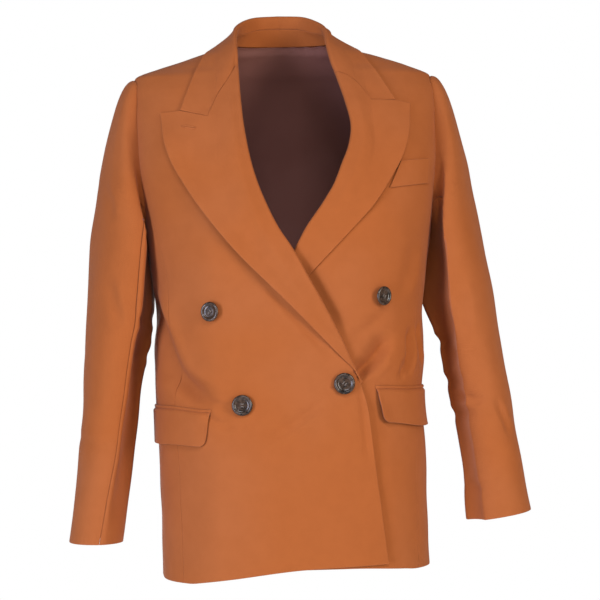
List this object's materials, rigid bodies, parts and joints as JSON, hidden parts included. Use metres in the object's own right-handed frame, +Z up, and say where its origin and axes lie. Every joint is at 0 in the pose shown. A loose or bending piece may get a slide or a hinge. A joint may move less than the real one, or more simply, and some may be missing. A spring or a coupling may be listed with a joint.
{
  "type": "double breasted blazer",
  "caption": "Double breasted blazer with peak lapels, filled out and empty: closed front with horn buttons, flap pockets, a breast welt and two-piece sleeves.",
  "frame": {"origin": "between the shoulders at the height of the neck seam, where the wearer's shoulders and neck carry the jacket", "axes": "+Z up; the front faces -Y; the wearer's right side is at -X"},
  "size_m": [0.5998, 0.2554, 0.732],
  "materials": {
    "rust_twill": "smooth wool twill, rust brown, semi-matte",
    "brown_lining": "thin woven lining, dark brown, slight sheen",
    "dark_horn": "horn-like resin, near black, polished rim"
  },
  "bodies": {
    "root": {"back_left": "rust_twill", "back_right": "rust_twill", "breast_welt": "rust_twill", "button_fastened": "dark_horn", "button_lower_right": "dark_horn", "button_upper_left": "dark_horn", "button_upper_right": "dark_horn", "collar_fall": "rust_twill", "collar_stand": "rust_twill", "front_left": "rust_twill", "front_right": "rust_twill", "lapel_left": "rust_twill", "lapel_right": "rust_twill", "lining_back": "brown_lining", "pocket_flap_left": "rust_twill", "pocket_flap_right": "rust_twill", "pocket_jet_left": "rust_twill", "pocket_jet_right": "rust_twill", "side_left": "rust_twill", "side_right": "rust_twill", "sleeve_under_left": "rust_twill", "sleeve_under_right": "rust_twill", "sleeve_upper_left": "rust_twill", "sleeve_upper_right": "rust_twill"}
  },
  "joints": []
}
